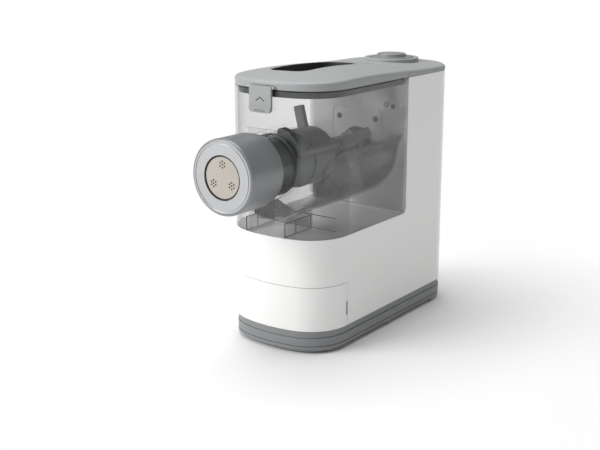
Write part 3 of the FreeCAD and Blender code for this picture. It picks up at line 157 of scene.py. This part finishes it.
white_gloss = plastic("white_gloss", (0.84, 0.84, 0.83), 0.22, 0.28, 260.0, 0.05, coat=0.3, spread=0.008)
cover_grey = plastic("cover_grey", (0.34, 0.354, 0.354), 0.38, 0.46, 1500.0, 0.22)
base_grey = plastic("base_grey", (0.225, 0.234, 0.239), 0.40, 0.50, 1300.0, 0.22)
skirt_grey = plastic("skirt_grey", (0.035, 0.036, 0.038), 0.35, 0.45, 1300.0, 0.15)
paddle_grey = plastic("paddle_grey", (0.135, 0.142, 0.147), 0.32, 0.42, 1200.0, 0.15)
black_satin = plastic("black_satin", (0.018, 0.018, 0.019), 0.35, 0.45, 1100.0, 0.2)
disc_beige = plastic("disc_beige", (0.44, 0.41, 0.36), 0.35, 0.45, 900.0, 0.15, spread=0.04)
tray_grey = plastic("tray_grey", (0.33, 0.34, 0.34), 0.4, 0.5, 1200.0, 0.2)
gear_nylon = plastic("gear_nylon", (0.72, 0.70, 0.64), 0.4, 0.5, 600.0, 0.1)
board_green = plastic("board_green", (0.02, 0.16, 0.06), 0.35, 0.5, 400.0, 0.1)
rubber = plastic("rubber", (0.02, 0.02, 0.02), 0.7, 0.85, 700.0, 0.5)
print("plastics made")

# %% [markdown]
# ## Metals and the satin nut
# The holder nut has a satin grey coat whose turning marks run round it, and its face is a paler
# silver. Rings come from the distance to the nose's axis: a wave of that distance feeds the bump.

# %% Metal finishes
def metal(name, colour, roughness, metallic=1.0, spread=0.05):
    material, tree, shader, output = new_material(name)
    mottle(tree, shader, colour, spread, 60.0)
    rough_patches(tree, shader, roughness * 0.85, roughness * 1.15, 90.0)
    grain(tree, shader, 1400.0, 0.15, 0.0001)
    shader.inputs["Metallic"].default_value = metallic
    return material


def turned(name, colour, roughness, metallic, axis_height, ring_scale):
    material, tree, shader, output = new_material(name)
    mottle(tree, shader, colour, 0.03, 40.0)
    mapping = tree.nodes.new("ShaderNodeMapping")
    mapping.inputs["Location"].default_value = (0.0, 0.0, -axis_height)
    tree.links.new(object_coordinates(tree), mapping.inputs["Vector"])
    rings = tree.nodes.new("ShaderNodeTexWave")
    rings.wave_type = "RINGS"
    rings.rings_direction = "Y"
    rings.inputs["Scale"].default_value = ring_scale
    rings.inputs["Distortion"].default_value = 0.4
    rings.inputs["Detail"].default_value = 2.0
    tree.links.new(mapping.outputs["Vector"], rings.inputs["Vector"])
    bump = add(tree, "ShaderNodeBump", Strength=0.08, Distance=0.0001)
    tree.links.new(rings.outputs["Fac"], bump.inputs["Height"])
    tree.links.new(bump.outputs["Normal"], shader.inputs["Normal"])
    rough_patches(tree, shader, roughness * 0.9, roughness * 1.1, 50.0)
    shader.inputs["Metallic"].default_value = metallic
    return material


axis_height = 0.2
nut_satin = turned("nut_satin", (0.235, 0.242, 0.250), 0.36, 0.35, axis_height, 900.0)
silver_face = turned("silver_face", (0.52, 0.525, 0.535), 0.32, 0.75, axis_height, 900.0)
steel = metal("steel", (0.55, 0.55, 0.55), 0.35)
dark_metal = metal("dark_metal", (0.25, 0.25, 0.26), 0.5)
bronze = metal("bronze", (0.55, 0.33, 0.18), 0.4)
print("metals made")

# %% [markdown]
# ## The smoky clear tub
# A thin clear wall does two things: it lets the view through, a little darkened, and it mirrors
# the lamps more as the eye looks along it. A transparent shader mixed with a glossy one does
# both without noise. Edges seen end on are darker, as in a real moulding, because the light has
# further to go: Layer Weight gives that.

# %% Clear plastic
def clear_plastic(name, tint, edge_tint, gloss_roughness, straight_gloss):
    material = bpy.data.materials.new(name)
    material.use_nodes = True
    tree = material.node_tree
    tree.nodes.clear()
    output = tree.nodes.new("ShaderNodeOutputMaterial")
    through = tree.nodes.new("ShaderNodeBsdfTransparent")
    gloss = add(tree, "ShaderNodeBsdfGlossy", Roughness=gloss_roughness)
    facing = add(tree, "ShaderNodeLayerWeight", Blend=0.5)
    shade = tree.nodes.new("ShaderNodeValToRGB")
    shade.color_ramp.elements[0].color = (*tint, 1)
    shade.color_ramp.elements[1].color = (*edge_tint, 1)
    tree.links.new(facing.outputs["Facing"], shade.inputs["Fac"])
    tree.links.new(shade.outputs["Color"], through.inputs["Color"])
    steep = tree.nodes.new("ShaderNodeMath")
    steep.operation = "POWER"
    steep.inputs[1].default_value = 5.0
    tree.links.new(facing.outputs["Facing"], steep.inputs[0])
    mirror = tree.nodes.new("ShaderNodeMapRange")
    mirror.inputs["To Min"].default_value = straight_gloss
    tree.links.new(steep.outputs["Value"], mirror.inputs["Value"])
    mix = tree.nodes.new("ShaderNodeMixShader")
    tree.links.new(mirror.outputs["Result"], mix.inputs["Fac"])
    tree.links.new(through.outputs["BSDF"], mix.inputs[1])
    tree.links.new(gloss.outputs["BSDF"], mix.inputs[2])
    tree.links.new(mix.outputs["Shader"], output.inputs["Surface"])
    return material


smoky_clear = clear_plastic("smoky_clear", (0.985, 0.985, 0.985), (0.82, 0.82, 0.82), 0.03, 0.04)
print("clear plastic made")

# %% [markdown]
# ## Dressing the CAD pieces
# Each node already has the right shape, so it stays and only takes a finish. The table below
# reads like a shopping list: finish on the left, pieces on the right.

# %% Finishes on the nodes
finishes = {
    white_gloss: ["main_housing", "drawer_front", "drive_panel"],
    cover_grey: ["rear_cover", "knob_dish", "lid_shell", "lid_latch", "lid_pin", "latch_pin"],
    base_grey: ["base_tray", "selector_knob"],
    skirt_grey: ["lid_skirt", "drawer_bay", "gearbox_case", "interlock_bushes", "panel_screws",
                 "chamber_pin"],
    paddle_grey: ["extrusion_barrel", "auger_screw", "mixing_paddle"],
    black_satin: ["drive_coupling", "disc_seal", "selector_switch", "board_shelf", "motor_end_cap",
                  "motor_brushes", "motor_fan", "micro_switches", "cord_gland"],
    disc_beige: ["shaping_disc"],
    tray_grey: ["drawer_tray"],
    gear_nylon: ["output_gear", "second_stage_gear", "first_stage_gear"],
    board_green: ["control_board"],
    rubber: ["rubber_feet"],
    nut_satin: ["disc_nut"],
    silver_face: ["nut_face_ring"],
    steel: ["housing_screws", "gearbox_screws", "gear_pins", "knob_shaft", "drive_shaft", "motor_can",
            "rotor_shaft", "motor_pinion", "lid_hinge_pin", "switch_bracket"],
    dark_metal: ["gearbox_plate", "rotor_core"],
    bronze: ["output_bearings", "motor_bearings", "commutator"],
    smoky_clear: ["mixing_chamber"],
}
for finish, names in finishes.items():
    for name in names:
        nodes[name].data.materials.clear()
        nodes[name].data.materials.append(finish)
undressed = set(nodes) - {name for names in finishes.values() for name in names}
print("nodes without a finish:", sorted(undressed))

# %% [markdown]
# ## Raised marks on the latch, the knob and its dish
# The latch carries a small upward chevron over two grip lines, and the knob a pointer with ticks
# round it. Each mark is a thin bevelled bar, half sunk in its piece.

# %% Bars for the marks
def bar(length, width, height, place):
    shape = bmesh.new()
    bmesh.ops.create_cube(shape, size=1.0)
    bmesh.ops.scale(shape, vec=(length, width, height), verts=shape.verts)
    bmesh.ops.bevel(shape, geom=shape.edges[:], offset=0.3 * min(width, height), segments=2,
                    profile=0.5, affect="EDGES", material=-1)
    bmesh.ops.transform(shape, matrix=place, verts=shape.verts)
    mesh = bpy.data.meshes.new("bar")
    shape.to_mesh(mesh)
    shape.free()
    return mesh


def piece(name, body, finish, meshes):
    whole = bmesh.new()
    for mesh in meshes:
        whole.from_mesh(mesh)
        bpy.data.meshes.remove(mesh)
    bmesh.ops.recalc_face_normals(whole, faces=whole.faces)
    joined = bpy.data.meshes.new(name)
    whole.to_mesh(joined)
    whole.free()
    joined.materials.append(finish)
    made = bpy.data.objects.new(name, joined)
    scene.collection.objects.link(made)
    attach(made, body)
    print(name, "faces", len(joined.polygons), "on", body)
    return made


# %% Latch marks
latch_low, latch_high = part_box("lid_latch")
latch_middle = (latch_low.x + latch_high.x) / 2
chevron_height = latch_low.z + 0.014
chevron_setback = 0.0011
chevron_spread = 0.0026
chevron_slope = math.radians(36)
grip_line_low = latch_low.z + 0.0016
grip_line_step = 0.0015
marks = []
for side in (-1, 1):
    place = Matrix.Translation((latch_middle + side * chevron_spread, latch_low.y + chevron_setback,
                                chevron_height))
    marks.append(bar(0.0072, 0.0006, 0.0010, place @ Matrix.Rotation(side * chevron_slope, 4, "Y")))
for row in range(2):
    place = Matrix.Translation((latch_middle, latch_low.y + 0.0001, grip_line_low + grip_line_step * row))
    marks.append(bar(0.014, 0.0004, 0.0005, place))
piece("latch_marks", "latch", skirt_grey, marks)

# %% [markdown]
# ## A knob with a proper cap
# The knob is turned from a profile, half of its outline, which `bmesh.ops.spin` sweeps once round.
# It has a thin skirt, a slightly tapered grip and a rounded upper edge, and it closes over the end
# of its shaft.

# %% Turned knob and shaft
def turned_mesh(profile, x, y, steps=96):
    shape = bmesh.new()
    points = [shape.verts.new((x + radius, y, z)) for radius, z in profile]
    edges = [shape.edges.new(pair) for pair in zip(points, points[1:])]
    bmesh.ops.spin(shape, geom=points + edges, cent=(x, y, 0), axis=(0, 0, 1),
                   angle=math.tau, steps=steps, use_merge=True)
    bmesh.ops.remove_doubles(shape, verts=shape.verts, dist=1e-6)
    mesh = bpy.data.meshes.new("turned")
    shape.to_mesh(mesh)
    shape.free()
    return mesh


def rounded(radius, z, size, steps=4):
    turns = [math.pi / 2 * step / steps for step in range(steps + 1)]
    return [(radius - size + size * math.sin(a), z - size + size * math.cos(a)) for a in turns]


knob_low, knob_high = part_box("selector_knob")
dish_low, dish_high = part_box("knob_dish")
shaft_low, shaft_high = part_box("knob_shaft")
knob_x = (dish_low.x + dish_high.x) / 2
knob_y = (dish_low.y + dish_high.y) / 2
skirt_radius = (knob_high.x - knob_low.x) / 2
shaft_radius = (shaft_high.x - shaft_low.x) / 2
grip_radius = 0.017
grip_taper = 0.0008
skirt_top = knob_low.z + 0.0016
knob_top = knob_high.z + 0.0010
shaft_top = knob_low.z + 0.0030
knob_profile = ([(0, knob_top)] + rounded(grip_radius, knob_top, 0.0012)
                + [(grip_radius + grip_taper, skirt_top)] + rounded(skirt_radius, skirt_top, 0.0006)
                + [(skirt_radius, knob_low.z), (shaft_radius, knob_low.z),
                   (shaft_radius, shaft_top), (0, shaft_top)])
knob = piece("knob_cap", "knob", base_grey, [turned_mesh(knob_profile, knob_x, knob_y)])
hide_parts("selector_knob")
shaft_profile = [(0, shaft_top - 0.0001), (shaft_radius - 0.0001, shaft_top - 0.0001),
                 (shaft_radius - 0.0001, shaft_low.z), (0, shaft_low.z)]
shaft = piece("knob_stem", "knob", steel, [turned_mesh(shaft_profile, knob_x, knob_y)])
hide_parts("knob_shaft")

# %% Knob pointer and dish ticks
pointer_middle = 0.0105
pointer_place = Matrix.Translation((knob_x, knob_y - pointer_middle, knob_top))
piece("knob_pointer", "knob", white_gloss, [bar(0.0012, 0.010, 0.0004, pointer_place)])
tick_turns = (-60, -30, 0, 30, 60)
tick_reach = 0.0285
ticks = []
for degrees in tick_turns:
    turn = Matrix.Rotation(math.radians(degrees), 4, "Z")
    place = Matrix.Translation((knob_x, knob_y, dish_high.z))
    ticks.append(bar(0.0008, 0.0032, 0.0004, place @ turn @ Matrix.Translation((0, -tick_reach, 0))))
piece("dish_ticks", "housing", base_grey, ticks)

# %% [markdown]
# ## Painted shade along the edges of the ribs below the trough
# A clear rib hardly shows, but its edges do: seen end on, refraction darkens them into thin lines. That
# shade is painted here. Slim dark bars trace the edges of the two long ribs and of the cross wall that
# joins them, and they ride with the tub.

# %% Rib edges
def upright(x, y, low, high, width):
    return bar(width, width, high - low, Matrix.Translation((x, y, (low + high) / 2)))


def along(x, front, back, z, width):
    return bar(width, back - front, width, Matrix.Translation((x, (front + back) / 2, z)))


def across(left, right, y, z, width):
    return bar(right - left, width, width, Matrix.Translation(((left + right) / 2, y, z)))


# painted shade: a dark clear finish for the bars that stand in for the dark lines refraction shows along
# the rib edges
rib_shade_paint = clear_plastic("rib_shade_paint", (0.30, 0.30, 0.30), (0.10, 0.10, 0.10), 0.1, 0.04)
chamber_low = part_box("mixing_chamber")[0]
rib_foot = chamber_low.z + 0.0010
rib_top = rib_foot + 0.0145
rib_places = (-0.029, 0.022)
rib_front = -0.102
rib_back = -0.056
rib_cross = rib_back + 0.003
rib_middle = (rib_front + rib_back) / 2 - 0.004
cross_half = 0.052
edge_width = 0.0008
painted_rib_shade_bars = []
for rib_x in rib_places:
    for rib_y in (rib_front, rib_middle, rib_back):
        painted_rib_shade_bars.append(upright(rib_x, rib_y, rib_foot, rib_top, edge_width))
    for level in (rib_foot, rib_top):
        painted_rib_shade_bars.append(along(rib_x, rib_front, rib_back, level, edge_width))
for level in (rib_foot, rib_top):
    painted_rib_shade_bars.append(across(-cross_half, cross_half, rib_cross, level, edge_width))
piece("rib_painted_shade_lines", "chamber", rib_shade_paint, painted_rib_shade_bars)

# %% [markdown]
# ## Floor and light
# The floor is a wide pale sheet that keeps the soft shadow. Away from the machine it fades into a
# white glow of its own, seen only by camera and mirror rays, so the lamps can stay at a plain
# level. A pale sky and two soft boxes light the machine: one from the front left, one overhead.

# %% Floor
def floor_material(near, far, near_glow):
    material, tree, shader, output = new_material("floor_white")
    shader.inputs["Base Color"].default_value = (0.92, 0.92, 0.92, 1)
    shader.inputs["Roughness"].default_value = 0.8
    grain(tree, shader, 40.0, 0.02, 0.001)
    glow = add(tree, "ShaderNodeEmission", Strength=1.0)
    distance = tree.nodes.new("ShaderNodeVectorMath")
    distance.operation = "LENGTH"
    tree.links.new(object_coordinates(tree), distance.inputs[0])
    fade = tree.nodes.new("ShaderNodeMapRange")
    fade.interpolation_type = "SMOOTHSTEP"
    for name, value in (("From Min", near), ("From Max", far), ("To Min", near_glow)):
        fade.inputs[name].default_value = value
    tree.links.new(distance.outputs["Value"], fade.inputs["Value"])
    path = tree.nodes.new("ShaderNodeLightPath")
    seen = tree.nodes.new("ShaderNodeMath")
    seen.operation = "MAXIMUM"
    tree.links.new(path.outputs["Is Camera Ray"], seen.inputs[0])
    tree.links.new(path.outputs["Is Glossy Ray"], seen.inputs[1])
    share = tree.nodes.new("ShaderNodeMath")
    share.operation = "MULTIPLY"
    tree.links.new(seen.outputs["Value"], share.inputs[0])
    tree.links.new(fade.outputs["Result"], share.inputs[1])
    mix = tree.nodes.new("ShaderNodeMixShader")
    tree.links.new(share.outputs["Value"], mix.inputs["Fac"])
    tree.links.new(shader.outputs["BSDF"], mix.inputs[1])
    tree.links.new(glow.outputs["Emission"], mix.inputs[2])
    tree.links.new(mix.outputs["Shader"], output.inputs["Surface"])
    return material


def make_floor(half_side):
    mesh = bpy.data.meshes.new("floor")
    shape = bmesh.new()
    bmesh.ops.create_grid(shape, x_segments=1, y_segments=1, size=half_side)
    shape.to_mesh(mesh)
    shape.free()
    floor = bpy.data.objects.new("floor", mesh)
    scene.collection.objects.link(floor)
    mesh.materials.append(floor_material(0.2, 0.5, 0.0))


floor_half_side = 6.0
make_floor(floor_half_side)
print("floor laid")

# %% World and lamps
def make_world(strength):
    world = bpy.data.worlds.new("studio")
    scene.world = world
    world.use_nodes = True
    tree = world.node_tree
    tree.nodes.clear()
    output = tree.nodes.new("ShaderNodeOutputWorld")
    background = tree.nodes.new("ShaderNodeBackground")
    background.inputs["Color"].default_value = (1, 1, 1, 1)
    path = tree.nodes.new("ShaderNodeLightPath")
    seen = tree.nodes.new("ShaderNodeMath")
    seen.operation = "MAXIMUM"
    tree.links.new(path.outputs["Is Camera Ray"], seen.inputs[0])
    tree.links.new(path.outputs["Is Transmission Ray"], seen.inputs[1])
    level = tree.nodes.new("ShaderNodeMapRange")
    level.inputs["To Min"].default_value = strength
    level.inputs["To Max"].default_value = 1.0
    tree.links.new(seen.outputs["Value"], level.inputs["Value"])
    tree.links.new(level.outputs["Result"], background.inputs["Strength"])
    tree.links.new(background.outputs["Background"], output.inputs["Surface"])


def soft_box(name, place, target, width, height, power):
    data = bpy.data.lights.new(name, "AREA")
    data.shape = "RECTANGLE"
    data.size = width
    data.size_y = height
    data.energy = power
    lamp = bpy.data.objects.new(name, data)
    lamp.location = place
    aim = Vector(target) - Vector(place)
    lamp.rotation_mode = "QUATERNION"
    lamp.rotation_quaternion = aim.to_track_quat("-Z", "Y")
    scene.collection.objects.link(lamp)
    return lamp


make_world(0.36)
middle = (0.0, 0.0, 0.15)
soft_box("key_left", (-1.1, -1.6, 1.0), middle, 1.2, 1.2, 31.0)
soft_box("top", (-0.3, 0.1, 1.9), middle, 1.4, 1.4, 24.0)
